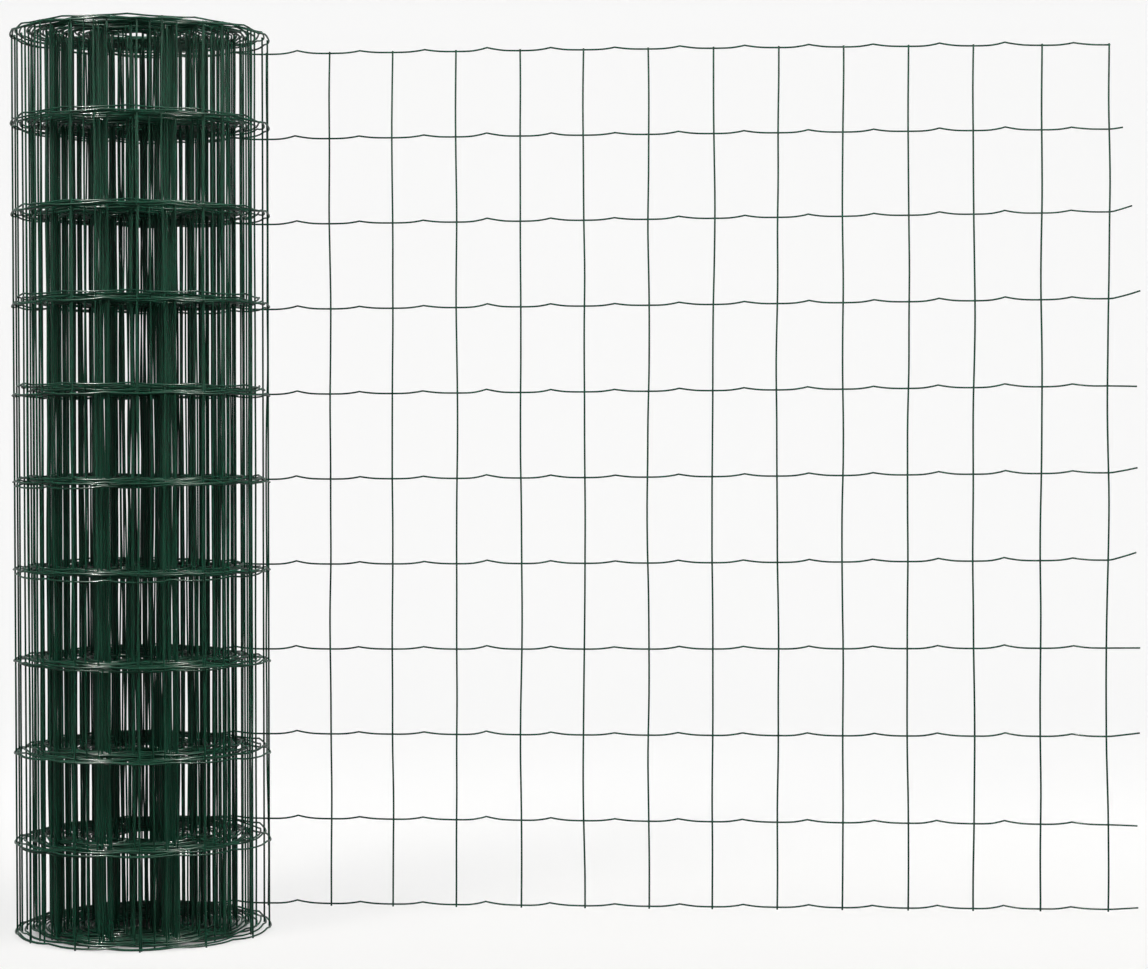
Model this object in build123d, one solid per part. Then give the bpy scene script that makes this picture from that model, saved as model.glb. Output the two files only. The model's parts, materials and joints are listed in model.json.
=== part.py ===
"""Roll of crimped, plastic-coated welded wire fencing, stood on its end with its free end unrolled.

Millimetres. The origin is on the roll's axis at the floor, +Z is up along the axis, and the free
end runs along +X from the back (+Y) of the roll. The wound part is one turned solid, and the flat
stretch is a mesh of bars fused at every weld.
"""

import math
import os

from build123d import *

# Mesh: line wires run the length of the roll, cross wires run its height.
LINE_WIRES = 11
LINE_PITCH = 100.0
LINE_WIRE = 2.0
CROSS_WIRE = 2.1
CROSS_PITCH = 75.0
BOTTOM_STUB = 1.5
TOP_STUB = 0.5
WELD_SET_IN = 0.3

# Crimp: the small upward kink that every line wire has in the middle of a cell.
CRIMP_RISE = 2.9
CRIMP_START, CRIMP_PEAK, CRIMP_END = 0.25, 0.46, 0.75

# Wound roll: the turns have slipped past each other along the axis by up to TURN_SLIP.
ROLL_RADIUS = 146.0
BORE_RADIUS = 25.0
# The ridges on the ends stand for the turns, which are really about 3.3 mm apart.
RIDGE_PITCH = 8.8
RIDGE_DEPTH = 4.0
TURN_SLIP = 8.0

# Unrolled free end, hanging level a little above the floor as its turn does.
LEADER_LIFT = 7.0
LEADER_CELLS = 14
FIRST_CROSS_WIRE_X = 39.0
# Cut ends of the line wires past the last cross wire, top wire first: reach and rise of the bend.
TAILS = (
    (2.0, 0.0),
    (16.0, 2.0),
    (27.0, 7.0),
    (40.0, 9.0),
    (32.0, -1.0),
    (33.0, 6.0),
    (32.0, 9.0),
    (40.0, 0.0),
    (41.0, 4.0),
    (37.0, -1.0),
    (37.0, 2.0),
)
TAIL_BEND = 0.45

# Every size below follows from the ones above.
WELD_SPAN = (LINE_WIRES - 1) * LINE_PITCH
CROSS_LENGTH = BOTTOM_STUB + LINE_WIRE + WELD_SPAN + TOP_STUB
MESH_HEIGHT = BOTTOM_STUB + LINE_WIRE + WELD_SPAN + max(TOP_STUB, CRIMP_RISE)
ROLL_HEIGHT = MESH_HEIGHT + TURN_SLIP
LINE_WIRE_BACK = ROLL_RADIUS
LINE_WIRE_FRONT = LINE_WIRE_BACK - LINE_WIRE
LAST_CROSS_WIRE_X = FIRST_CROSS_WIRE_X + LEADER_CELLS * CROSS_PITCH


def wound_roll():
    """Turned solid whose ends are ridged like the edges of the turns, round an open bore."""
    land = CROSS_WIRE
    ridged = ROLL_RADIUS - BORE_RADIUS - 2 * land
    ridges = max(2, round(ridged / RIDGE_PITCH))
    pitch = ridged / ridges
    bottom = [(BORE_RADIUS, 0.0), (BORE_RADIUS + land, 0.0)]
    for ridge in range(ridges):
        inner_crest = BORE_RADIUS + land + ridge * pitch
        bottom.append((inner_crest + pitch / 2, RIDGE_DEPTH))
        bottom.append((inner_crest + pitch, 0.0))
    bottom.append((ROLL_RADIUS, 0.0))
    top = [(radius, ROLL_HEIGHT - z) for radius, z in reversed(bottom)]
    profile = make_face(Polyline([(r, 0, z) for r, z in bottom + top], close=True))
    return revolve(profile, Axis.Z, 360)


def line_wire_path(tail_reach, tail_rise):
    """Points (x, z) of a line wire's centre line, with its weld height as z = 0."""
    # The wire leaves the roll where a quarter of its thickness has come clear of the turn below.
    start = math.sqrt(ROLL_RADIUS**2 - (LINE_WIRE_BACK - LINE_WIRE / 4) ** 2)
    points = [(start, 0.0)]
    for cell in range(LEADER_CELLS):
        cell_x = FIRST_CROSS_WIRE_X + cell * CROSS_PITCH
        points.append((cell_x + CRIMP_START * CROSS_PITCH, 0.0))
        points.append((cell_x + CRIMP_PEAK * CROSS_PITCH, CRIMP_RISE))
        points.append((cell_x + CRIMP_END * CROSS_PITCH, 0.0))
    if tail_rise:
        points.append((LAST_CROSS_WIRE_X + TAIL_BEND * tail_reach, 0.0))
    points.append((LAST_CROSS_WIRE_X + tail_reach, tail_rise))
    return points


def line_wire(z, tail_reach, tail_rise):
    """Square bar bent along the crimps, its outer face level with the outside of the roll."""
    half = LINE_WIRE / 2
    path = line_wire_path(tail_reach, tail_rise)
    upper = [(x, LINE_WIRE_BACK, z + rise + half) for x, rise in path]
    lower = [(x, LINE_WIRE_BACK, z + rise - half) for x, rise in reversed(path)]
    side = make_face(Polyline(upper + lower, close=True))
    return extrude(side, amount=LINE_WIRE, dir=(0, -1, 0))


def cross_wire(x):
    """Upright six-sided bar on the roll's inner side of the line wires, set in by the weld."""
    y = LINE_WIRE_FRONT + WELD_SET_IN - CROSS_WIRE / 2
    section = Plane((x, y, LEADER_LIFT)) * RegularPolygon(CROSS_WIRE / 2, 6, major_radius=False)
    return extrude(section, amount=CROSS_LENGTH, dir=(0, 0, 1))


def unrolled_leader():
    """Flat welded mesh, fused at every crossing and cut to the roll where it peels off."""
    bottom_weld = LEADER_LIFT + BOTTOM_STUB + LINE_WIRE / 2
    bars = []
    for row in range(LINE_WIRES):
        reach, rise = TAILS[(LINE_WIRES - 1 - row) % len(TAILS)]
        bars.append(line_wire(bottom_weld + row * LINE_PITCH, reach, rise))
    for cell in range(LEADER_CELLS + 1):
        bars.append(cross_wire(FIRST_CROSS_WIRE_X + cell * CROSS_PITCH))
    mesh = bars[0].fuse(*bars[1:])
    wound = Cylinder(ROLL_RADIUS, ROLL_HEIGHT, align=(Align.CENTER, Align.CENTER, Align.MIN))
    return mesh - wound


os.makedirs("parts", exist_ok=True)
for name, shape in (
    ("wound_roll", wound_roll()),
    ("unrolled_leader", unrolled_leader()),
):
    export_step(shape, f"parts/{name}.step")
    print(name, "solids", len(shape.solids()), "volume", round(shape.volume))
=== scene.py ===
"""Looks of a roll of crimped, plastic-coated welded wire fencing, around the CAD frame.

Metres, in the frame's axes: the roll's axis is Z, and the free end runs along +X from the back.
Every wire follows one measure, called along: how far the mesh reaches to the right of the first
cross wire of the free end, and below zero for all that is wound up.
"""

import json
import math

import bpy
import numpy as np
from bpy.props import FloatProperty, FloatVectorProperty, IntProperty, PointerProperty
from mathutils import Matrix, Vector

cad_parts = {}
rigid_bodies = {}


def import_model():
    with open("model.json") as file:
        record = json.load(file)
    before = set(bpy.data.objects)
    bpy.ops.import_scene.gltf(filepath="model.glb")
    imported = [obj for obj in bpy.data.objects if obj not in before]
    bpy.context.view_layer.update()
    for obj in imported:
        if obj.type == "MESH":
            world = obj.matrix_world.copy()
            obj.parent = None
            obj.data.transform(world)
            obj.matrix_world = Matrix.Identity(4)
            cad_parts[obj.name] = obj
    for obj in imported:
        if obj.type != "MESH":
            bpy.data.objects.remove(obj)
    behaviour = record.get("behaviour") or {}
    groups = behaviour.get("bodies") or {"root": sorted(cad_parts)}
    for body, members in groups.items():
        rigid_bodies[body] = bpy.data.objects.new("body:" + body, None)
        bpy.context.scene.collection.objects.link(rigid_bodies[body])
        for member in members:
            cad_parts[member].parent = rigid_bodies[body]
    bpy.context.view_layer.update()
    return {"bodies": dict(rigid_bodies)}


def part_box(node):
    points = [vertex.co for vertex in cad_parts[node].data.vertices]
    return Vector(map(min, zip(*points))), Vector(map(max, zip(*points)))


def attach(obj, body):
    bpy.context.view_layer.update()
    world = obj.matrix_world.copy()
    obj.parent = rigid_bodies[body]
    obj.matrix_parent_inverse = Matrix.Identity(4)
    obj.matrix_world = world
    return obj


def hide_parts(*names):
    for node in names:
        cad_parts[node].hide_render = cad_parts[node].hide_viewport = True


bl_info = {
    "name": "Roll of Welded Wire Fencing",
    "version": (1, 0, 0),
    "blender": (4, 5, 0),
    "location": "3D View > Sidebar > Fencing",
    "description": "Winds and unrolls coated welded mesh around its CAD frame",
    "category": "Object",
}

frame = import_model()
ROLL_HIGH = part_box("wound_roll")[1]
BODY = next(iter(frame["bodies"]))

TURN = 2 * math.pi
BACK_OF_ROLL = math.pi / 2
SHARP_ANGLE = math.radians(55)
FOOT_CLEARANCE = 0.0001

# Fewer sides and bends in the roll, where the wires are many, than in the free end.
ROLL_SIDES, LEADER_SIDES = 8, 12
ROLL_BENDS, LEADER_BENDS = 21, 61
ROLL_BEAD, LEADER_BEAD = (6, 4), (12, 8)
BEAD_DEPTH_SHARE = 0.65

# The roll's line wires lie in three pieces, as (name, lowest wire, number of wires).
BUNDLES = (("low", 0, 4), ("middle", 4, 4), ("top", 8, 3))

# Radius of the loose outer turns, as (turns from where the free end leaves, share of the outer radius).
LOOSE_TURNS = (
    (0.0, 1.0),
    (0.75, 1.0),
    (1.25, 0.97),
    (1.5, 0.985),
    (1.75, 0.97),
    (2.25, 0.935),
    (2.5, 0.955),
    (2.75, 0.93),
    (3.25, 0.9),
    (3.5, 0.925),
    (3.75, 0.9),
    (4.25, 0.85),
)

# The spiral is drawn in this many points over all its turns, and measured off in even steps.
SPIRAL_POINTS = 60000
SPARE_TURNS = 1.0

# Turns from where the free end leaves: where the roll begins to settle, and over how many it does.
SETTLE_FROM, SETTLE_OVER = 0.75, 1.25

# Turns from where the free end leaves over which the outer turn comes down to the floor.
LIFT_FADE = 0.25

# Waves of the turns, as (size, rate, phase): out of round by the turned angle, and slip by the turns.
OUT_OF_ROUND_WAVES = ((1.0, 2.0, 0.6), (0.6, 3.0, 2.0))
SLIP_WAVES = ((0.38, 2.9, 0.4), (0.3, 7.3, 1.1))

# The settling of the wound mesh grows over this length, about a quarter of a turn.
SETTLE_LENGTH = 0.28

# Side bends: how fast the noise changes per metre of mesh, and which slice of it is used.
BEND_CHANGE, BEND_SLICE = 23.0, 0.7

# Sway: the noise's change per metre of mesh and of height, its slice, and its growth from each rim.
SWAY_CHANGE, SWAY_CHANGE_UP, SWAY_SLICE, SWAY_GROWTH = 1.9, 4.0, 5.3, 8.0

# Height of the kink along a cell, from 0 to 1, with a sharp peak; the places are shares of a cell.
KINK = ((0.0, 0.0), (0.16, 0.02), (0.32, 0.33), (0.467, 1.0), (0.62, 0.42), (0.79, 0.08), (1.0, 0.0))
KINK_PEAK = 0.467

# Cut ends of the line wires, bottom wire first: reach past the last cross wire and rise of the bend.
CUT_ENDS = (
    (0.035, 0.002),
    (0.035, -0.001),
    (0.037, 0.004),
    (0.0365, 0.0),
    (0.031, 0.0085),
    (0.032, 0.0055),
    (0.031, -0.001),
    (0.0365, 0.0085),
    (0.026, 0.007),
    (0.015, 0.002),
    (0.0015, 0.0),
)
CUT_END_CURVE = 1.15

# How far each line wire has strayed from its level by the last cross wire, bottom wire first.
ROW_STRAY = (0.0015, -0.0013, 0.0005, 0.0024, 0.0037, 0.0042, 0.0041, 0.0043, 0.0044, -0.0008, -0.0044)
STRAY_REACH = 1.1

# The free end's ripple towards the front: angle per metre, and the length over which it begins.
RIPPLE_RATE, RIPPLE_START = 5.2, 0.3

# Coating wear: its patches and grains, as (noise scale, detail, share), and where their sum starts to
# show and shows in full.
PATCH_SCALE, PATCH_DETAIL, PATCH_SHARE = 9.0, 3.0, 0.6
GRAIN_SCALE, GRAIN_DETAIL, GRAIN_SHARE = 260.0, 2.0, 0.4
WEAR_START, WEAR_FULL = 0.48, 0.66
WEAR_ROUGHNESS = 0.25

# Floor and backdrop, seen from the side: places along Y, the curve between them, and the top.
SWEEP_FRONT, SWEEP_CORNER, SWEEP_RADIUS, SWEEP_TOP = -6.0, 2.5, 1.5, 6.0
SWEEP_BENDS, SWEEP_HALF_WIDTH = 16, 16.0

# The floor's glow changes between these places along Y, and fades in past the roll's foot: a painted shadow
# under the roll.
GLOW_FRONT, GLOW_BACK = -0.5, SWEEP_CORNER / 2
PAINTED_SHADOW_FADE_START, PAINTED_SHADOW_FADE_END = 0.6 * ROLL_HIGH.x, 1.03 * ROLL_HIGH.x

LAMP_AIM = (0.45, 0.0, 0.5)
LAMP_COLOUR = (1.0, 0.97, 0.92)
FRONT_LAMPS = (("left", (-1.3, -1.9, 2.3)), ("right", (2.0, -1.1, 2.3)))
FRONT_LAMP_SIZE, GLINT_SIZE = (0.8, 0.8), (0.6, 0.3)
TOP_LAMP_PLACE, TOP_LAMP_SIZE, TOP_LAMP_SHARE = (0.3, -1.2, 2.9), (2.0, 0.8), 0.25

PHOTO_WIDTH = 1148
SENSOR_WIDTH = 36.0


class FencingMeshSizes(bpy.types.PropertyGroup):
    """Sizes of the welded mesh, the same in the roll and in the free end."""

    rows: IntProperty(name="Line wires", description="Line wires over the height", default=11, min=2)
    row_pitch: FloatProperty(
        name="Row pitch", description="Height of a cell", default=0.1, unit="LENGTH"
    )
    cell: FloatProperty(name="Cell", description="Length of a cell", default=0.075, unit="LENGTH")
    line_wire: FloatProperty(
        name="Line wire", description="Coated thickness of a line wire", default=0.002, unit="LENGTH"
    )
    cross_wire: FloatProperty(
        name="Cross wire", description="Coated thickness of a cross wire", default=0.0021, unit="LENGTH"
    )
    weld_set_in: FloatProperty(
        name="Weld set-in",
        description="How far the weld sinks the wires together",
        default=0.0003,
        unit="LENGTH",
    )
    weld_spread: FloatProperty(
        name="Weld spread", description="Radius of the coating round a weld", default=0.0013, unit="LENGTH"
    )
    bottom_stub: FloatProperty(
        name="Bottom stub",
        description="Cross wire below the lowest line wire",
        default=0.0015,
        unit="LENGTH",
    )
    top_stub: FloatProperty(
        name="Top stub", description="Cross wire above the top line wire", default=0.0005, unit="LENGTH"
    )
    crimp_rise: FloatProperty(
        name="Crimp rise", description="Height of a tall kink in the roll", default=0.0029, unit="LENGTH"
    )
    kink_spread: FloatProperty(
        name="Kink spread", description="How much smaller some kinks are", default=0.4, subtype="FACTOR"
    )
    bend: FloatProperty(
        name="Bend", description="How far a cross wire bends to the side", default=0.004, unit="LENGTH"
    )
    bend_length: FloatProperty(
        name="Bend length",
        description="Typical length of a bend in a cross wire",
        default=0.22,
        unit="LENGTH",
    )


class FencingRollSizes(bpy.types.PropertyGroup):
    """How the mesh is wound, and how the turns have settled."""

    cells: IntProperty(
        name="Cells wound", description="Cells from the free end to the core", default=252, min=20
    )
    steps: IntProperty(
        name="Steps", description="Straight steps that bend a line wire round a cell", default=8, min=3
    )
    core_gap: FloatProperty(
        name="Core gap",
        description="From the bore to the innermost line wire",
        default=0.003,
        unit="LENGTH",
    )
    core_radius: FloatProperty(
        name="Core radius", description="Radius of the open bore", default=0.025, unit="LENGTH"
    )
    off_centre: FloatProperty(
        name="Off centre",
        description="How far the tight turns lie towards the left",
        default=0.0025,
        unit="LENGTH",
    )
    slip_back: FloatProperty(
        name="Slip at the back",
        description="How far the inner turns stand up at the back",
        default=0.004,
        unit="LENGTH",
    )
    slip_loose: FloatProperty(
        name="Loose slip",
        description="How far one turn may stand up from the next",
        default=0.0037,
        unit="LENGTH",
    )
    out_of_round: FloatProperty(
        name="Out of round",
        description="How far the turns stray from a circle",
        default=0.001,
        unit="LENGTH",
    )
    sway: FloatProperty(
        name="Sway",
        description="How far the line wires between the rims rise and fall",
        default=0.018,
        unit="LENGTH",
    )
    lean: FloatProperty(
        name="Lean",
        description="How far the top leans to the left of the middle",
        default=0.0014,
        unit="LENGTH",
    )
    waist_top: FloatProperty(
        name="Inset at the top",
        description="How far the top turns are drawn in",
        default=0.0014,
        unit="LENGTH",
    )
    waist_bottom: FloatProperty(
        name="Inset at the bottom",
        description="How far the bottom turns are drawn in",
        default=0.003,
        unit="LENGTH",
    )


class FencingLeaderSizes(bpy.types.PropertyGroup):
    """The flat free end."""

    first_cross_wire: FloatProperty(
        name="First cross wire", description="Its place along X", default=0.039, unit="LENGTH"
    )
    cells: IntProperty(name="Cells unrolled", description="Whole cells that lie flat", default=14, min=1)
    steps: IntProperty(
        name="Steps", description="Straight steps that draw a line wire along a cell", default=15, min=4
    )
    crimp_rise: FloatProperty(
        name="Crimp rise",
        description="Height of a tall kink in the free end",
        default=0.0041,
        unit="LENGTH",
    )
    lift_at_roll: FloatProperty(
        name="Lift at the roll",
        description="How high the free end leaves the roll",
        default=0.0036,
        unit="LENGTH",
    )
    lift_at_end: FloatProperty(
        name="Lift at the end",
        description="How high the last cross wire hangs",
        default=0.0078,
        unit="LENGTH",
    )
    ripple: FloatProperty(
        name="Ripple", description="How far the flat mesh waves to the front", default=0.002, unit="LENGTH"
    )
    last_cells_spread: FloatProperty(
        name="Last cells' spread",
        description="How much longer the last two cells are",
        default=0.0036,
        unit="LENGTH",
    )
    end_bend: FloatProperty(
        name="End bend",
        description="Share of a cut end that stays straight",
        default=0.08,
        subtype="FACTOR",
    )


class FencingCoating(bpy.types.PropertyGroup):
    """The plastic coating of the wires."""

    green: FloatVectorProperty(
        name="Green",
        description="Colour of the plastic coating",
        default=(0.006, 0.054, 0.031),
        subtype="COLOR",
        min=0,
        max=1,
    )
    rubbed: FloatVectorProperty(
        name="Rubbed green",
        description="Colour where turns have rubbed and dust has settled",
        default=(0.02, 0.067, 0.042),
        subtype="COLOR",
        min=0,
        max=1,
    )
    roughness: FloatProperty(
        name="Roughness", description="Roughness of clean coating", default=0.3, subtype="FACTOR"
    )
    wear: FloatProperty(
        name="Wear", description="How strongly rubbed patches show", default=0.35, subtype="FACTOR"
    )


class FencingStage(bpy.types.PropertyGroup):
    """Floor, lamps and camera."""

    floor_shade: FloatProperty(
        name="Floor shade", description="Grey of the floor", default=0.2, subtype="FACTOR"
    )
    floor_glow: FloatProperty(
        name="Floor glow",
        description="Light in the floor that only the camera and reflections see",
        default=0.72,
        subtype="FACTOR",
    )
    backdrop_glow: FloatProperty(
        name="Backdrop glow", description="The same, in the backdrop", default=0.88, subtype="FACTOR"
    )
    sky_light: FloatProperty(
        name="Sky light", description="Even light from all sides", default=0.04, subtype="FACTOR"
    )
    lamp_power: FloatProperty(
        name="Lamp power", description="Power of each front lamp", default=58.0, unit="POWER"
    )
    glint_power: FloatProperty(
        name="Glint power",
        description="Power of the lamps that only gloss reflects",
        default=2400.0,
        unit="POWER",
    )
    eye: FloatVectorProperty(
        name="Eye",
        description="Place of the camera",
        default=(0.7047, -2.8833, 0.5313),
        subtype="TRANSLATION",
    )
    focal_pixels: FloatProperty(
        name="Focal length", description="In pixels of the photo", default=2600.0, subtype="PIXEL"
    )
    turned_left: FloatProperty(
        name="Turned left", description="Heading of the camera", default=math.radians(4.31), subtype="ANGLE"
    )
    tilted_up: FloatProperty(
        name="Tilted up", description="Pitch of the camera", default=math.radians(-0.58), subtype="ANGLE"
    )


# Inputs that every tree of the mesh shares: how the mesh has settled.
SETTLING = (
    "Bend",
    "Bend Length",
    "Sway",
    "Lean",
    "Inset Top",
    "Inset Bottom",
    "Outer Radius",
    "Mesh Height",
)


class Tree:
    """A node tree that is built up one node at a time."""

    def __init__(self, tree):
        self.tree = tree
        self.entry = None

    @classmethod
    def group(cls, name, kind="GeometryNodeTree"):
        return cls(bpy.data.node_groups.new(name, kind))

    def inputs(self, **sockets):
        """Adds the named inputs, as socket kinds; an underscore in a name stands for a space."""
        for name, kind in sockets.items():
            self.tree.interface.new_socket(
                name.replace("_", " "), in_out="INPUT", socket_type="NodeSocket" + kind
            )
        self.entry = self.tree.nodes.new("NodeGroupInput")

    def settled_inputs(self, **sockets):
        """Adds the named inputs and those of the settling."""
        self.inputs(**sockets, **{name.replace(" ", "_"): "Float" for name in SETTLING})

    def given(self, name):
        return self.entry.outputs[name]

    def outputs(self, **sockets):
        """Adds the named outputs and links each to what makes it, as (socket kind, source)."""
        for name, (kind, source) in sockets.items():
            self.tree.interface.new_socket(name, in_out="OUTPUT", socket_type="NodeSocket" + kind)
        leave = self.tree.nodes.new("NodeGroupOutput")
        for name, (kind, source) in sockets.items():
            self.tree.links.new(source, leave.inputs[name])

    def fill(self, node, values):
        """Sets or links a node's inputs, as (input name or number, constant or socket)."""
        for key, value in values:
            if isinstance(value, bpy.types.NodeSocket):
                self.tree.links.new(value, node.inputs[key])
            else:
                node.inputs[key].default_value = value

    def add(self, kind, values=(), **settings):
        node = self.tree.nodes.new(kind)
        for name, setting in settings.items():
            setattr(node, name, setting)
        self.fill(node, values)
        return node

    def add_group(self, kind, tree, values):
        node = self.add(kind, node_tree=tree)
        self.fill(node, values)
        return node

    def calc(self, operation, first, second=0.0):
        return self.add("ShaderNodeMath", ((0, first), (1, second)), operation=operation).outputs[0]

    def plus(self, first, second):
        return self.calc("ADD", first, second)

    def minus(self, first, second):
        return self.calc("SUBTRACT", first, second)

    def times(self, first, *others):
        for other in others:
            first = self.calc("MULTIPLY", first, other)
        return first

    def ramp(self, value, start, end, low=0.0, high=1.0, smooth=True):
        """Goes from low to high while the value goes from start to end."""
        reach = (("From Min", start), ("From Max", end), ("To Min", low), ("To Max", high))
        values = (("Value", value), *reach)
        slope = "SMOOTHSTEP" if smooth else "LINEAR"
        return self.add("ShaderNodeMapRange", values, interpolation_type=slope).outputs["Result"]

    def noise(self, place, scale=1.0, detail=0.0):
        values = (("Vector", place), ("Scale", scale), ("Detail", detail))
        return self.add("ShaderNodeTexNoise", values, noise_dimensions="3D").outputs[0]

    def combine(self, x=0.0, y=0.0, z=0.0):
        return self.add("ShaderNodeCombineXYZ", ((0, x), (1, y), (2, z))).outputs[0]

    def separate(self, vector):
        return self.add("ShaderNodeSeparateXYZ", ((0, vector),)).outputs

    def join(self, first, second):
        node = self.add("ShaderNodeVectorMath", ((0, first), (1, second)), operation="ADD")
        return node.outputs["Vector"]

    def scaled(self, vector, factor):
        node = self.add("ShaderNodeVectorMath", ((0, vector), ("Scale", factor)), operation="SCALE")
        return node.outputs["Vector"]

    def attribute(self, name, kind="FLOAT"):
        node = self.add("GeometryNodeInputNamedAttribute", (("Name", name),), data_type=kind)
        return node.outputs["Attribute"]

    def geometry(self, kind, values, **settings):
        """Adds a node and returns the geometry that it puts out."""
        return self.add(kind, values, **settings).outputs[0]

    def moved(self, geometry, offset):
        return self.geometry("GeometryNodeSetPosition", (("Geometry", geometry), ("Offset", offset)))

    def settle(self, geometry):
        """Moves the wires by the shared offset, driven by this tree's own inputs."""
        values = [(name, self.given(name)) for name in SETTLING]
        shared = shared_tree("mesh_settling", settling_tree)
        return self.moved(geometry, self.add_group("GeometryNodeGroup", shared, values).outputs["Offset"])

    def repeat(self, geometry, domain):
        """Copies the geometry once for each row, and returns the copies and each one's height."""
        values = ((0, geometry), ("Amount", self.given("Rows")))
        rows = self.add("GeometryNodeDuplicateElements", values, domain=domain)
        up = self.times(rows.outputs["Duplicate Index"], self.given("Row Pitch"))
        return rows.outputs[0], self.plus(self.given("First Height"), up)

    def at_welds(self):
        """The path's points that have a cross wire."""
        welded = self.attribute("weld", "BOOLEAN")
        return self.geometry("GeometryNodeSeparateGeometry", ((0, self.given("Geometry")), (1, welded)))

    def inward(self):
        """Offset from the line wires' middle towards the roll's inner side."""
        return self.scaled(self.attribute("inward", "FLOAT_VECTOR"), self.given("Inward Gap"))

    def bars(self, path):
        """Gives a path its round section."""
        radius = self.times(self.given("Thickness"), 0.5)
        section = self.geometry(
            "GeometryNodeCurvePrimitiveCircle", (("Resolution", self.given("Sides")), ("Radius", radius))
        )
        return self.geometry(
            "GeometryNodeCurveToMesh", (("Curve", path), ("Profile Curve", section), ("Fill Caps", True))
        )

    def finish(self, geometry):
        """Ends the tree with real, coated geometry."""
        whole = self.geometry("GeometryNodeRealizeInstances", ((0, geometry),))
        coated = self.geometry("GeometryNodeSetMaterial", ((0, whole), ("Material", self.given("Coating"))))
        self.outputs(Geometry=("Geometry", coated))
        return self.tree


def shared_tree(name, build):
    """A tree that is built at its first use and then shared."""
    return bpy.data.node_groups.get(name) or build(name)


def settling_tree(name):
    """Shared offset of every wire: side bends, the roll's lean, its drawn-in turns and their sway."""
    t = Tree.group(name)
    t.settled_inputs()
    place = t.add("GeometryNodeInputPosition").outputs[0]
    x, y, z = t.separate(place)
    along = t.attribute("along")
    up_share = t.calc("DIVIDE", z, t.given("Mesh Height"))

    # Side bends differ from one cross wire to the next, and pull the welds with them.
    bend_up = t.calc("DIVIDE", z, t.given("Bend Length"))
    bend_place = t.combine(t.times(along, BEND_CHANGE), bend_up, BEND_SLICE)
    swing = t.times(t.minus(t.noise(bend_place, detail=1.0), 0.5), t.times(t.given("Bend"), 2.0))
    bend = t.scaled(t.attribute("heading", "FLOAT_VECTOR"), swing)

    # The top leans to one side and the foot to the other, and the turns are drawn in towards both rims.
    lean = t.times(t.given("Lean"), t.minus(1.0, t.times(up_share, 2.0)))
    inset_growth = t.minus(t.given("Inset Top"), t.given("Inset Bottom"))
    inset = t.plus(t.given("Inset Bottom"), t.times(up_share, inset_growth))
    drawn_in = t.scaled(t.combine(x, y), t.calc("DIVIDE", t.times(inset, -1.0), t.given("Outer Radius")))

    # The line wires between the rims rise and fall from turn to turn, and the rims stay level.
    sway_place = t.combine(t.times(along, SWAY_CHANGE), t.times(z, SWAY_CHANGE_UP), SWAY_SLICE)
    between = t.times(up_share, SWAY_GROWTH, t.minus(1.0, up_share))
    between = t.calc("MINIMUM", t.calc("MAXIMUM", between, 0.0), 1.0)
    sway = t.times(t.minus(t.noise(sway_place), 0.5), t.given("Sway"), between)

    # The free end stays true, and the settling grows over the first stretch of the roll.
    wound = t.ramp(along, 0.0, -SETTLE_LENGTH)
    settled = t.scaled(t.join(drawn_in, t.combine(lean, z=sway)), wound)
    t.outputs(Offset=("Vector", t.join(bend, settled)))
    return t.tree


def kink_height(t, cells_along):
    """Height of the kink, as a share of its full size, with cells counted along the mesh."""
    node = t.add("ShaderNodeFloatCurve", (("Value", t.calc("FRACT", cells_along)),))
    curve = node.mapping.curves[0]
    curve.points[0].location = KINK[0]
    curve.points[1].location = KINK[-1]
    for share, height in KINK[1:-1]:
        curve.points.new(share, height)
    for point in curve.points:
        if math.isclose(point.location.x, KINK_PEAK, abs_tol=1e-4):
            point.handle_type = "VECTOR"
    node.mapping.update()
    return node.outputs[0]


def kink_size(t, cells_along):
    """Size of the kink, which differs from one cell to the next by up to the given share."""
    number = t.calc("FLOOR", cells_along)
    chance = t.add("ShaderNodeTexWhiteNoise", (("W", number),), noise_dimensions="1D").outputs["Value"]
    return t.minus(1.0, t.times(chance, t.given("Kink Spread")))


def line_wire_tree(name):
    """Line wires: rows of the path, crimped in every cell and given their thickness."""
    t = Tree.group(name)
    t.settled_inputs(
        Geometry="Geometry",
        Rows="Int",
        First_Height="Float",
        Row_Pitch="Float",
        Cell="Float",
        Crimp_Rise="Float",
        Kink_Spread="Float",
        Thickness="Float",
        Sides="Int",
        Coating="Material",
    )
    path = t.geometry("GeometryNodeMeshToCurve", (("Mesh", t.given("Geometry")),))
    rows, level = t.repeat(path, "SPLINE")
    cells_along = t.calc("DIVIDE", t.attribute("along"), t.given("Cell"))
    full_rise = t.times(t.given("Crimp Rise"), t.attribute("crimped"))
    rise = t.times(kink_height(t, cells_along), t.times(kink_size(t, cells_along), full_rise))
    raised = t.moved(rows, t.combine(z=t.plus(level, rise)))
    return t.finish(t.bars(t.settle(raised)))


def cross_wire_tree(name):
    """Cross wires: one upright bar at every weld of the path, on the inner side of the line wires."""
    t = Tree.group(name)
    t.settled_inputs(
        Geometry="Geometry",
        Foot="Float",
        Length="Float",
        Bends="Int",
        Inward_Gap="Float",
        Thickness="Float",
        Sides="Int",
        Coating="Material",
    )
    top = t.combine(z=t.given("Length"))
    line = t.geometry("GeometryNodeCurvePrimitiveLine", (("Start", (0.0, 0.0, 0.0)), ("End", top)))
    bent = t.geometry("GeometryNodeResampleCurve", (("Curve", line), ("Count", t.given("Bends"))))
    stood = t.geometry("GeometryNodeInstanceOnPoints", (("Points", t.at_welds()), ("Instance", bent)))
    whole = t.geometry("GeometryNodeRealizeInstances", ((0, stood),))
    raised = t.moved(whole, t.join(t.inward(), t.combine(z=t.given("Foot"))))
    return t.finish(t.bars(t.settle(raised)))


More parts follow.
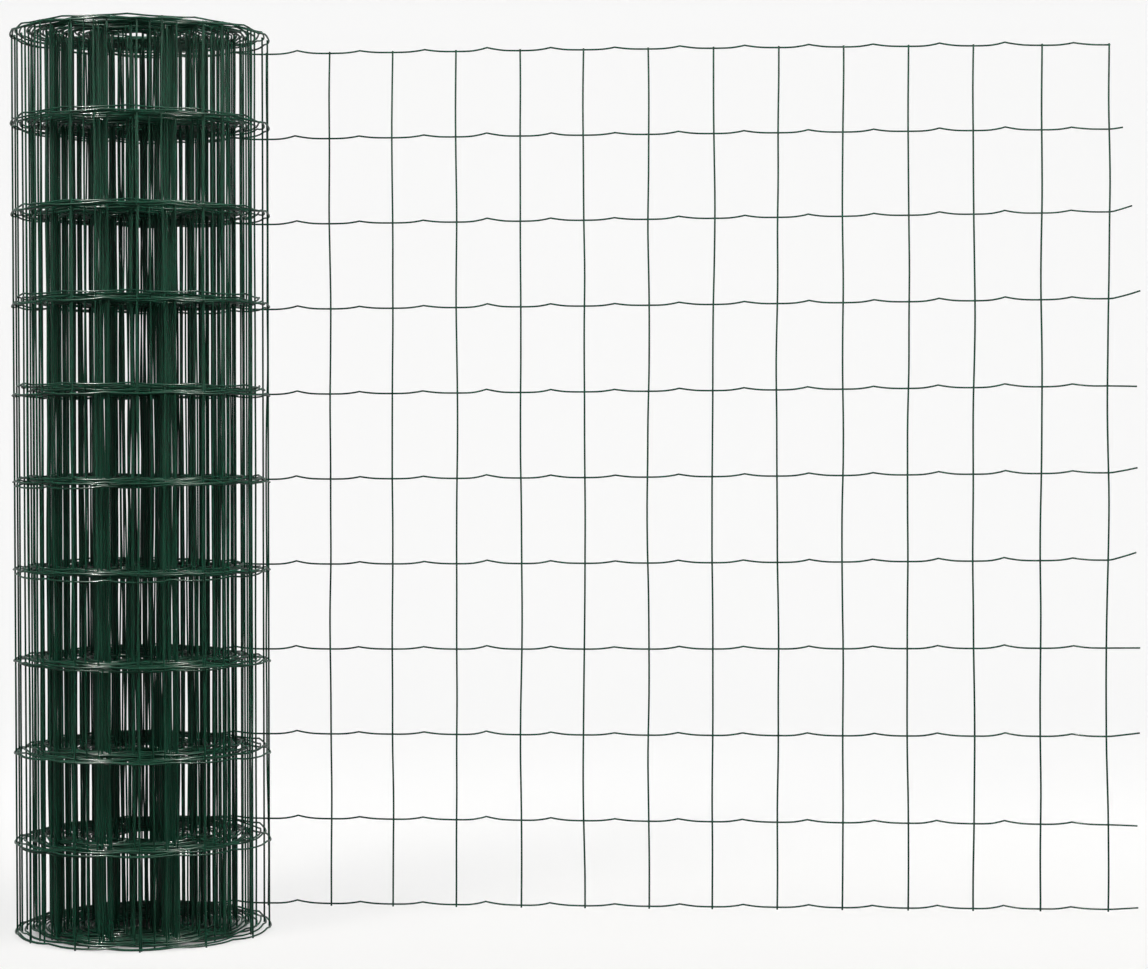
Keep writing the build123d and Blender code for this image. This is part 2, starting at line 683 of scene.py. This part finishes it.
def weld_tree(name):
    """Welds: a small swelling of the coating at every crossing."""
    t = Tree.group(name)
    t.settled_inputs(
        Geometry="Geometry",
        Rows="Int",
        First_Height="Float",
        Row_Pitch="Float",
        Inward_Gap="Float",
        Spread="Float",
        Depth="Float",
        Segments="Int",
        Rings="Int",
        Coating="Material",
    )
    rows, level = t.repeat(t.at_welds(), "POINT")
    settled = t.settle(t.moved(rows, t.join(t.inward(), t.combine(z=level))))
    bead = t.geometry(
        "GeometryNodeMeshUVSphere",
        (("Segments", t.given("Segments")), ("Rings", t.given("Rings")), ("Radius", 1.0)),
    )
    facing = t.add(
        "FunctionNodeAlignRotationToVector", (("Vector", t.attribute("heading", "FLOAT_VECTOR")),), axis="X"
    )
    size = t.combine(t.given("Spread"), t.given("Depth"), t.given("Spread"))
    beads = t.geometry(
        "GeometryNodeInstanceOnPoints",
        (("Points", settled), ("Instance", bead), ("Rotation", facing.outputs[0]), ("Scale", size)),
    )
    return t.finish(beads)


def settling_values():
    """Values of the shared inputs, from the panel's settings."""
    mesh, roll = bpy.context.scene.fencing_mesh, bpy.context.scene.fencing_roll
    return {
        "Bend": mesh.bend,
        "Bend Length": mesh.bend_length,
        "Sway": roll.sway,
        "Lean": roll.lean,
        "Inset Top": roll.waist_top,
        "Inset Bottom": roll.waist_bottom,
        "Outer Radius": ROLL_HIGH.x,
        "Mesh Height": ROLL_HIGH.z,
    }


def lowest_level():
    """Height of the lowest line wire's middle above the mesh's foot."""
    mesh = bpy.context.scene.fencing_mesh
    return mesh.bottom_stub + mesh.line_wire / 2


def line_wire_values(first_row, rows, crimp_rise, sides):
    mesh = bpy.context.scene.fencing_mesh
    return {
        "Rows": rows,
        "First Height": lowest_level() + first_row * mesh.row_pitch,
        "Row Pitch": mesh.row_pitch,
        "Cell": mesh.cell,
        "Crimp Rise": crimp_rise,
        "Kink Spread": mesh.kink_spread,
        "Thickness": mesh.line_wire,
        "Sides": sides,
        "Coating": coating(),
        **settling_values(),
    }


def cross_wire_values(bends, sides):
    mesh = bpy.context.scene.fencing_mesh
    return {
        "Foot": 0.0,
        "Length": mesh.bottom_stub + mesh.line_wire + (mesh.rows - 1) * mesh.row_pitch + mesh.top_stub,
        "Bends": bends,
        "Inward Gap": (mesh.line_wire + mesh.cross_wire) / 2 - mesh.weld_set_in,
        "Thickness": mesh.cross_wire,
        "Sides": sides,
        "Coating": coating(),
        **settling_values(),
    }


def weld_values(rows, bead):
    mesh = bpy.context.scene.fencing_mesh
    segments, rings = bead
    return {
        "Rows": rows,
        "First Height": lowest_level(),
        "Row Pitch": mesh.row_pitch,
        "Inward Gap": mesh.line_wire / 2 - mesh.weld_set_in / 2,
        "Spread": mesh.weld_spread,
        "Depth": mesh.line_wire * BEAD_DEPTH_SHARE,
        "Segments": segments,
        "Rings": rings,
        "Coating": coating(),
        **settling_values(),
    }


def smoothstep(share):
    """Goes from 0 to 1 without a corner while the share does."""
    share = np.clip(share, 0.0, 1.0)
    return share * share * (3 - 2 * share)


def waves(table, at):
    """Sum of sine waves, as (size, rate, phase)."""
    return sum(size * np.sin(rate * at + phase) for size, rate, phase in table)


def wound_spiral():
    """Turned angle, radius and number of turns of the line wires, from the free end to the core."""
    mesh, roll = bpy.context.scene.fencing_mesh, bpy.context.scene.fencing_roll
    leader = bpy.context.scene.fencing_leader
    outer = ROLL_HIGH.x - mesh.line_wire / 2
    inner = roll.core_radius + roll.core_gap
    turns_out, shares = zip(*LOOSE_TURNS)
    loose_end, tight = turns_out[-1], outer * shares[-1]

    # The tight turns fill the room that is left down to the core with the length that is left.
    middle_share = float(np.interp(loose_end / 2, turns_out, shares))
    loose_length = leader.first_cross_wire + loose_end * TURN * outer * middle_share
    tight_turns = (roll.cells * mesh.cell - loose_length) / (math.pi * (tight + inner))
    pitch = (tight - inner) / tight_turns

    turns = np.linspace(0.0, loose_end + tight_turns + SPARE_TURNS, SPIRAL_POINTS)
    loose = outer * np.interp(turns, turns_out, shares)
    radius = np.where(turns < loose_end, loose, tight - pitch * (turns - loose_end))
    return BACK_OF_ROLL + TURN * turns, radius, turns


def wound_plan():
    """Places of the wound mesh in plan, with its slip as z, evenly spaced from the free end in."""
    mesh, roll = bpy.context.scene.fencing_mesh, bpy.context.scene.fencing_roll
    leader = bpy.context.scene.fencing_leader
    angle, radius, turns = wound_spiral()
    settled = smoothstep((turns - SETTLE_FROM) / SETTLE_OVER)
    radius = radius + settled * roll.out_of_round * waves(OUT_OF_ROUND_WAVES, angle)
    x = radius * np.cos(angle) - settled * roll.off_centre
    y = radius * np.sin(angle)

    # Slip: the free end stands a little high, the outer turn rests on the floor, the rest has slid up.
    to_back = 0.5 + 0.5 * np.sin(angle)
    drift = np.clip(0.5 + waves(SLIP_WAVES, turns), 0.0, 1.0)
    inner_slip = roll.slip_back * to_back + roll.slip_loose * drift
    outer_slip = leader.lift_at_roll * (1 - smoothstep(turns / LIFT_FADE))
    slip = FOOT_CLEARANCE + outer_slip + settled * inner_slip

    first = [leader.first_cross_wire, ROLL_HIGH.x - mesh.line_wire / 2, leader.lift_at_roll]
    points = np.vstack([first, np.stack([x, y, slip], axis=1)])
    lengths = np.linalg.norm(np.diff(points[:, :2], axis=0), axis=1)
    measured = np.concatenate([[0.0], np.cumsum(lengths)])
    wanted = np.arange(roll.cells * roll.steps + 1) * mesh.cell / roll.steps
    places = [np.interp(wanted, measured, points[:, axis]) for axis in range(3)]
    return np.stack(places, axis=1), wanted


def path_object(name, places, along, heading, cell_steps, breaks=(), crimped=None):
    """A mesh of edges along the path, with what the trees read at each point."""
    edges = [(i, i + 1) for i in range(len(places) - 1) if i + 1 not in breaks]
    data = bpy.data.meshes.new(name)
    data.from_pydata([tuple(p) for p in places], edges, [])
    inward = np.stack([heading[:, 1], -heading[:, 0], np.zeros(len(places))], axis=1)
    if crimped is None:
        crimped = np.ones(len(places))
    for key, kind, field, values in (
        ("along", "FLOAT", "value", along),
        ("crimped", "FLOAT", "value", crimped),
        ("heading", "FLOAT_VECTOR", "vector", heading),
        ("inward", "FLOAT_VECTOR", "vector", inward),
        ("weld", "BOOLEAN", "value", np.arange(len(places)) % cell_steps == 0),
    ):
        number = bool if kind == "BOOLEAN" else np.float32
        attribute = data.attributes.new(key, kind, "POINT")
        attribute.data.foreach_set(field, np.ascontiguousarray(values, dtype=number).ravel())
    piece = bpy.data.objects.new(name, data)
    bpy.context.scene.collection.objects.link(piece)
    return piece


def wound_path(name):
    """The wound mesh's path as an object, from the free end's first cross wire to the core."""
    places, walked = wound_plan()
    ahead = np.gradient(places, axis=0)
    ahead[:, 2] = 0.0
    heading = -ahead / np.linalg.norm(ahead, axis=1)[:, None]
    return path_object(name, places, -walked, heading, bpy.context.scene.fencing_roll.steps)


def wound_weld_path(name):
    """The same path without a weld at its first point, where the free end's first cross wire stands."""
    piece = wound_path(name)
    piece.data.attributes["weld"].data[0].value = False
    return piece


def leader_place(along):
    """Places of the free end's lowest line wire, with the mesh's lift as z."""
    mesh, leader = bpy.context.scene.fencing_mesh, bpy.context.scene.fencing_leader
    front = leader.ripple * (0.5 - 0.5 * np.cos(RIPPLE_RATE * along)) * smoothstep(along / RIPPLE_START)
    share = along / (leader.cells * mesh.cell)
    lift = leader.lift_at_roll + (leader.lift_at_end - leader.lift_at_roll) * share
    x = leader.first_cross_wire + along
    y = ROLL_HIGH.y - mesh.line_wire / 2 - front
    return np.stack([x, y, lift], axis=1)


def leader_row(row):
    """Places, along-values and crimped stretch of one line wire of the free end, with its cut end."""
    mesh, leader = bpy.context.scene.fencing_mesh, bpy.context.scene.fencing_leader
    last = leader.cells * mesh.cell
    reach, rise = CUT_ENDS[row]
    cut_steps = max(2, round(reach / mesh.cell * leader.steps))
    along = np.concatenate([
        np.arange(leader.cells * leader.steps + 1) * mesh.cell / leader.steps,
        last + reach * np.arange(1, cut_steps + 1) / cut_steps,
    ])
    past = np.clip((along - last) / reach, 0.0, 1.0)
    bent = np.clip((past - leader.end_bend) / (1 - leader.end_bend), 0.0, 1.0)
    places = leader_place(along)
    places[:, 2] += rise * bent**CUT_END_CURVE + row * mesh.row_pitch
    return places, along, (along <= last).astype(float)


def leader_welds():
    """Places and along-values of the free end's cross wires, at the height of the free end there."""
    mesh, leader = bpy.context.scene.fencing_mesh, bpy.context.scene.fencing_leader
    along = np.arange(leader.cells + 1) * mesh.cell
    return leader_place(along), along


def to_the_right(count):
    """Heading of the free end at each of its points."""
    return np.tile((1.0, 0.0, 0.0), (count, 1))


def let_stray(piece):
    """Shifts the free end's line wires off their levels towards its end, and spreads its last two cells."""
    mesh, leader = bpy.context.scene.fencing_mesh, bpy.context.scene.fencing_leader
    places = np.empty(len(piece.data.vertices) * 3, dtype=np.float32)
    piece.data.vertices.foreach_get("co", places)
    places = places.reshape(-1, 3)
    along = places[:, 0] - leader.first_cross_wire
    length = leader.cells * mesh.cell
    row = (places[:, 2] - lowest_level()) / mesh.row_pitch
    stray = np.interp(row, np.arange(mesh.rows), ROW_STRAY[:mesh.rows])
    places[:, 2] += stray * np.clip(along / length, 0.0, STRAY_REACH) ** 2
    last_cells = np.clip((along - length) / (2 * mesh.cell) + 1, 0.0, 1.0)
    places[:, 0] += leader.last_cells_spread * last_cells
    piece.data.vertices.foreach_set("co", places.ravel())
    piece.data.update()


def made_mesh(piece, tree, values):
    """Runs a tree on a piece and keeps the result as the piece's plain mesh."""
    modifier = piece.modifiers.new("mesh", "NODES")
    modifier.node_group = tree
    sockets = {item.name: item.identifier for item in tree.interface.items_tree if item.in_out == "INPUT"}
    for name, value in values.items():
        modifier[sockets[name]] = value
    bpy.context.view_layer.update()
    graph = bpy.context.evaluated_depsgraph_get()
    data = bpy.data.meshes.new_from_object(
        piece.evaluated_get(graph), preserve_all_data_layers=True, depsgraph=graph
    )
    piece.modifiers.remove(modifier)
    old = piece.data
    piece.data = data
    bpy.data.meshes.remove(old)
    data.name = piece.name
    for key in ("along", "crimped", "heading", "inward", "weld"):
        if key in data.attributes:
            data.attributes.remove(data.attributes[key])
    for polygon in data.polygons:
        polygon.use_smooth = True
    data.set_sharp_from_angle(angle=SHARP_ANGLE)
    if not data.polygons:
        raise RuntimeError(f"{piece.name} came out empty")


def take_place(piece, node):
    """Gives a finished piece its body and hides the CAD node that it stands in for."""
    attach(piece, BODY)
    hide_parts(node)


def coating_wear_tree(name):
    """Shader group: patches of dust and rubbing, and finer streaks that also give the coating's bump
    height.
    """
    t = Tree.group(name, "ShaderNodeTree")
    t.inputs(Clean="Color", Rubbed="Color", Roughness="Float", Amount="Float")
    place = t.add("ShaderNodeTexCoord").outputs["Object"]
    patches = t.noise(place, PATCH_SCALE, PATCH_DETAIL)
    grains = t.noise(place, GRAIN_SCALE, GRAIN_DETAIL)
    both = t.plus(t.times(patches, PATCH_SHARE), t.times(grains, GRAIN_SHARE))
    mask = t.times(t.ramp(both, WEAR_START, WEAR_FULL, smooth=False), t.given("Amount"))
    colour = t.add(
        "ShaderNodeMix", ((0, mask), (6, t.given("Clean")), (7, t.given("Rubbed"))), data_type="RGBA"
    )
    t.outputs(
        Colour=("Color", colour.outputs[2]),
        Roughness=("Float", t.plus(t.given("Roughness"), t.times(mask, WEAR_ROUGHNESS))),
        Height=("Float", grains),
    )
    return t.tree


def coating():
    """Glossy plastic coating of the wires, made at its first use."""
    done = bpy.data.materials.get("green_coating")
    if done:
        return done
    look = bpy.context.scene.fencing_coating
    material = bpy.data.materials.new("green_coating")
    material.use_nodes = True
    t = Tree(material.node_tree)
    wear = t.add_group("ShaderNodeGroup", shared_tree("coating_wear", coating_wear_tree), (
        ("Clean", (*look.green, 1.0)),
        ("Rubbed", (*look.rubbed, 1.0)),
        ("Roughness", look.roughness),
        ("Amount", look.wear),
    ))
    bump = t.add(
        "ShaderNodeBump", (("Strength", 0.25), ("Distance", 0.0002), ("Height", wear.outputs["Height"]))
    )
    t.fill(material.node_tree.nodes["Principled BSDF"], (
        ("Base Color", wear.outputs["Colour"]),
        ("Roughness", wear.outputs["Roughness"]),
        ("Normal", bump.outputs["Normal"]),
        ("Specular IOR Level", 0.02),
        ("Coat Weight", 0.08),
        ("Coat Roughness", 0.08),
        ("IOR", 1.52),
    ))
    return material


class FENCING_OT_wind_line_wires(bpy.types.Operator):
    """Wind the line wires of the roll"""

    bl_idname = "fencing.wind_line_wires"
    bl_label = "Wind Line Wires"

    def execute(self, context):
        tree = shared_tree("line_wires", line_wire_tree)
        for name, first_row, rows in BUNDLES:
            piece = wound_path(f"wound_line_wires_{name}")
            rise = context.scene.fencing_mesh.crimp_rise
            made_mesh(piece, tree, line_wire_values(first_row, rows, rise, ROLL_SIDES))
            take_place(piece, "wound_roll")
        return {"FINISHED"}


class FENCING_OT_wind_cross_wires(bpy.types.Operator):
    """Stand the cross wires of the roll"""

    bl_idname = "fencing.wind_cross_wires"
    bl_label = "Wind Cross Wires"

    def execute(self, context):
        piece = wound_weld_path("wound_cross_wires")
        tree = shared_tree("cross_wires", cross_wire_tree)
        made_mesh(piece, tree, cross_wire_values(ROLL_BENDS, ROLL_SIDES))
        take_place(piece, "wound_roll")
        return {"FINISHED"}


class FENCING_OT_weld_roll(bpy.types.Operator):
    """Weld the roll's wires where they cross"""

    bl_idname = "fencing.weld_roll"
    bl_label = "Weld Roll"

    def execute(self, context):
        piece = wound_weld_path("wound_welds")
        rows = context.scene.fencing_mesh.rows
        made_mesh(piece, shared_tree("welds", weld_tree), weld_values(rows, ROLL_BEAD))
        take_place(piece, "wound_roll")
        return {"FINISHED"}


class FENCING_OT_unroll_line_wires(bpy.types.Operator):
    """Unroll the line wires of the free end"""

    bl_idname = "fencing.unroll_line_wires"
    bl_label = "Unroll Line Wires"

    def execute(self, context):
        mesh, leader = context.scene.fencing_mesh, context.scene.fencing_leader
        rows = [leader_row(row) for row in range(mesh.rows)]
        places, along, crimped = (np.concatenate(part) for part in zip(*rows))
        breaks = set(np.cumsum([len(row[0]) for row in rows]))
        heading = to_the_right(len(places))
        piece = path_object("leader_line_wires", places, along, heading, leader.steps, breaks, crimped)
        tree = shared_tree("line_wires", line_wire_tree)
        made_mesh(piece, tree, line_wire_values(0, 1, leader.crimp_rise, LEADER_SIDES))
        let_stray(piece)
        take_place(piece, "unrolled_leader")
        return {"FINISHED"}


class FENCING_OT_unroll_cross_wires(bpy.types.Operator):
    """Stand the cross wires of the free end"""

    bl_idname = "fencing.unroll_cross_wires"
    bl_label = "Unroll Cross Wires"

    def execute(self, context):
        places, along = leader_welds()
        piece = path_object("leader_cross_wires", places, along, to_the_right(len(places)), 1)
        tree = shared_tree("cross_wires", cross_wire_tree)
        made_mesh(piece, tree, cross_wire_values(LEADER_BENDS, LEADER_SIDES))
        let_stray(piece)
        take_place(piece, "unrolled_leader")
        return {"FINISHED"}


class FENCING_OT_weld_leader(bpy.types.Operator):
    """Weld the free end's wires where they cross"""

    bl_idname = "fencing.weld_leader"
    bl_label = "Weld Free End"

    def execute(self, context):
        mesh = context.scene.fencing_mesh
        places, along = leader_welds()
        rows = np.concatenate([places + (0.0, 0.0, row * mesh.row_pitch) for row in range(mesh.rows)])
        piece = path_object("leader_welds", rows, np.tile(along, mesh.rows), to_the_right(len(rows)), 1)
        made_mesh(piece, shared_tree("welds", weld_tree), weld_values(1, LEADER_BEAD))
        let_stray(piece)
        take_place(piece, "unrolled_leader")
        return {"FINISHED"}


def seen_as_background(t):
    """One for rays of the camera and of reflections and glass, and zero for rays that light things."""
    path = t.add("ShaderNodeLightPath")
    seen = t.calc("MAXIMUM", path.outputs["Is Camera Ray"], path.outputs["Is Glossy Ray"])
    return t.calc("MAXIMUM", seen, path.outputs["Is Transmission Ray"])


def floor_paint(stage):
    """Pale paint with a glow that only the camera and reflections see, left out under the roll as a painted
    shadow.
    """
    material = bpy.data.materials.new("floor_paint")
    material.use_nodes = True
    t = Tree(material.node_tree)
    place = t.add("ShaderNodeTexCoord").outputs["Object"]
    back = t.separate(place)["Y"]
    glow = t.ramp(back, GLOW_FRONT, GLOW_BACK, stage.floor_glow, stage.backdrop_glow)
    # Painted shadow: no glow near the roll's axis, so the floor under the roll shows dark.
    from_axis = t.add("ShaderNodeVectorMath", ((0, place),), operation="LENGTH").outputs["Value"]
    glow_outside_painted_shadow = t.ramp(from_axis, PAINTED_SHADOW_FADE_START, PAINTED_SHADOW_FADE_END)
    t.fill(material.node_tree.nodes["Principled BSDF"], (
        ("Base Color", (stage.floor_shade, stage.floor_shade, stage.floor_shade, 1.0)),
        ("Roughness", 0.9),
        ("Specular IOR Level", 0.0),
        ("Emission Color", (1.0, 1.0, 1.0, 1.0)),
        ("Emission Strength", t.times(seen_as_background(t), glow_outside_painted_shadow, glow)),
    ))
    return material


def studio_sweep():
    """Floor that curves up into a backdrop far behind the object."""
    profile = [(SWEEP_FRONT, 0.0), (SWEEP_CORNER, 0.0)]
    for bend in range(1, SWEEP_BENDS + 1):
        turned = math.pi / 2 * bend / SWEEP_BENDS
        along_floor = SWEEP_CORNER + SWEEP_RADIUS * math.sin(turned)
        profile.append((along_floor, SWEEP_RADIUS * (1 - math.cos(turned))))
    profile.append((SWEEP_CORNER + SWEEP_RADIUS, SWEEP_TOP))
    places = [(side, y, z) for y, z in profile for side in (-SWEEP_HALF_WIDTH, SWEEP_HALF_WIDTH)]
    faces = [(2 * i, 2 * i + 1, 2 * i + 3, 2 * i + 2) for i in range(len(profile) - 1)]
    data = bpy.data.meshes.new("studio_sweep")
    data.from_pydata(places, [], faces)
    for polygon in data.polygons:
        polygon.use_smooth = True
    sweep = bpy.data.objects.new("studio_sweep", data)
    bpy.context.scene.collection.objects.link(sweep)
    return sweep


def studio_world(sky_light):
    """White surroundings that light the object only a little."""
    world = bpy.data.worlds.new("studio")
    world.use_nodes = True
    t = Tree(world.node_tree)
    strength = t.ramp(seen_as_background(t), 0.0, 1.0, sky_light, 1.0, smooth=False)
    t.fill(world.node_tree.nodes["Background"], (("Color", (1.0, 1.0, 1.0, 1.0)), ("Strength", strength)))
    return world


def soft_lamp(name, place, size, power):
    """Flat lamp that faces the middle of the object."""
    light = bpy.data.lights.new(name, "AREA")
    light.shape = "RECTANGLE"
    light.size, light.size_y = size
    light.color = LAMP_COLOUR
    light.energy = power
    lamp = bpy.data.objects.new(name, light)
    lamp.location = place
    lamp.rotation_euler = (Vector(LAMP_AIM) - Vector(place)).to_track_quat("-Z", "Y").to_euler()
    bpy.context.scene.collection.objects.link(lamp)
    return lamp


def photo_camera(stage):
    """Camera at the photo's viewpoint."""
    data = bpy.data.cameras.new("photo_camera")
    data.sensor_fit = "HORIZONTAL"
    data.sensor_width = SENSOR_WIDTH
    data.lens = SENSOR_WIDTH * stage.focal_pixels / PHOTO_WIDTH
    camera = bpy.data.objects.new("photo_camera", data)
    camera.location = stage.eye
    camera.rotation_euler = (math.pi / 2 + stage.tilted_up, 0.0, stage.turned_left)
    bpy.context.scene.collection.objects.link(camera)
    return camera


class FENCING_OT_set_stage(bpy.types.Operator):
    """Set the floor, the lamps and the camera"""

    bl_idname = "fencing.set_stage"
    bl_label = "Set Stage"

    def execute(self, context):
        stage = context.scene.fencing_stage
        sweep = studio_sweep()
        sweep.data.materials.append(floor_paint(stage))
        context.scene.world = studio_world(stage.sky_light)
        for side, place in FRONT_LAMPS:
            soft_lamp(side + "_lamp", place, FRONT_LAMP_SIZE, stage.lamp_power)
            glint = soft_lamp(side + "_glint", place, GLINT_SIZE, stage.glint_power)
            glint.visible_diffuse = False
        soft_lamp("top_lamp", TOP_LAMP_PLACE, TOP_LAMP_SIZE, stage.lamp_power * TOP_LAMP_SHARE)
        context.scene.camera = photo_camera(stage)
        context.scene.view_settings.view_transform = "Standard"
        return {"FINISHED"}


class FENCING_PT_panel(bpy.types.Panel):
    """Lists the roll's pieces and their settings"""

    bl_idname = "FENCING_PT_panel"
    bl_label = "Welded Wire Fencing"
    bl_space_type = "VIEW_3D"
    bl_region_type = "UI"
    bl_category = "Fencing"

    def draw(self, context):
        for operator in OPERATORS:
            self.layout.operator(operator.bl_idname)
        for group, _ in SETTINGS:
            settings = getattr(context.scene, "fencing_" + group)
            box = self.layout.box()
            box.label(text=group.capitalize())
            for name in settings.__annotations__:
                box.prop(settings, name)


SETTINGS = (
    ("mesh", FencingMeshSizes),
    ("roll", FencingRollSizes),
    ("leader", FencingLeaderSizes),
    ("coating", FencingCoating),
    ("stage", FencingStage),
)
OPERATORS = (
    FENCING_OT_set_stage,
    FENCING_OT_unroll_line_wires,
    FENCING_OT_unroll_cross_wires,
    FENCING_OT_weld_leader,
    FENCING_OT_wind_line_wires,
    FENCING_OT_wind_cross_wires,
    FENCING_OT_weld_roll,
)


def register():
    for name, group in SETTINGS:
        bpy.utils.register_class(group)
        setattr(bpy.types.Scene, "fencing_" + name, PointerProperty(type=group))
    for operator in OPERATORS:
        bpy.utils.register_class(operator)
    bpy.utils.register_class(FENCING_PT_panel)


def unregister():
    bpy.utils.unregister_class(FENCING_PT_panel)
    for operator in reversed(OPERATORS):
        bpy.utils.unregister_class(operator)
    for name, group in reversed(SETTINGS):
        delattr(bpy.types.Scene, "fencing_" + name)
        bpy.utils.unregister_class(group)


def main():
    register()
    for operator in OPERATORS:
        area, verb = operator.bl_idname.split(".")
        getattr(getattr(bpy.ops, area), verb)()


if __name__ == "__main__":
    main()
